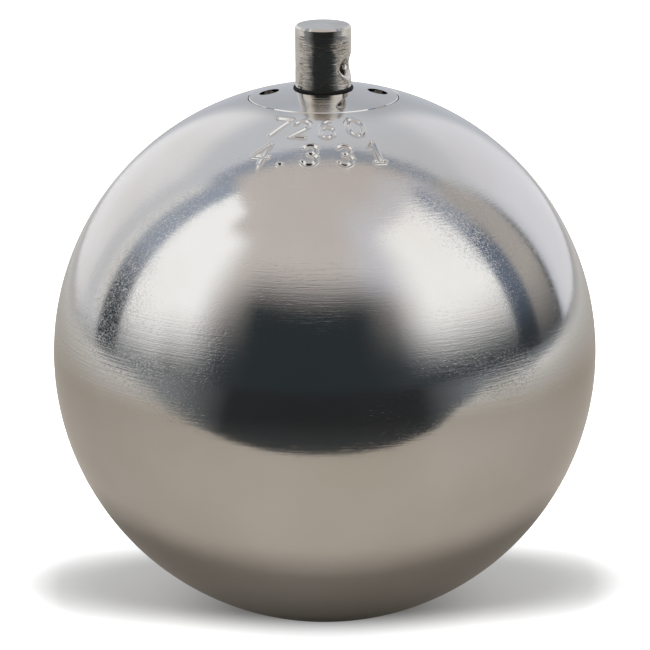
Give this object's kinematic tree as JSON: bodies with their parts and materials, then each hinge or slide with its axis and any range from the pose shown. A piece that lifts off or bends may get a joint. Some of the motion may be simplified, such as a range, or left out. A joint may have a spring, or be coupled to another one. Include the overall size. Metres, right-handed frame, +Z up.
{
  "type": "throwing hammer head",
  "caption": "Lead-filled stainless steel ball of a throwing hammer, with a flush screwed cap and a ball-bearing swivel spindle cross-drilled for the wire.",
  "frame": {"origin": "lowest point of the ball, where it touches the ground", "axes": "+Z up along the spindle, +X and -X through the two spanner holes of the cap"},
  "size_m": [0.11, 0.11, 0.1226],
  "materials": {
    "ball_steel": "satin, fine circular brushing",
    "cap_steel": "mirror polished",
    "spindle_steel": "turned and polished",
    "fitting_steel": "turned",
    "bearing_steel": "ground",
    "sheet_steel": "pressed sheet",
    "spring_steel": "phosphated",
    "seal_rubber": "matt black",
    "lead": "cast",
    "copper": "soft"
  },
  "bodies": {
    "head": {"upper_shell": "ball_steel", "lower_shell": "ball_steel", "seam_weld": "ball_steel", "lead_core": "lead", "filler_plug": "fitting_steel", "plug_washer": "copper", "bearing_cap": "cap_steel", "dust_seal": "seal_rubber", "bearing_outer_ring": "bearing_steel", "upper_shield": "sheet_steel", "lower_shield": "sheet_steel"},
    "swivel": {"swivel_spindle": "spindle_steel", "bearing_inner_ring": "bearing_steel", "support_washer": "fitting_steel", "retaining_ring": "spring_steel"},
    "ball_set": {"bearing_balls": "bearing_steel", "cage_upper": "sheet_steel", "cage_lower": "sheet_steel", "cage_rivets": "sheet_steel"}
  },
  "joints": [
    {"name": "swivel_spin", "type": "hinge", "parent": "head", "child": "swivel", "pos_m": [0, 0, 0.09742], "axis": [0, 0, 1], "continuous": true},
    {"name": "ball_set_orbit", "type": "hinge", "parent": "head", "child": "ball_set", "pos_m": [0, 0, 0.09742], "axis": [0, 0, 1], "continuous": true}
  ],
  "couplings": [
    {"joint": "ball_set_orbit", "follows": "swivel_spin", "ratio": 0.38095}
  ]
}
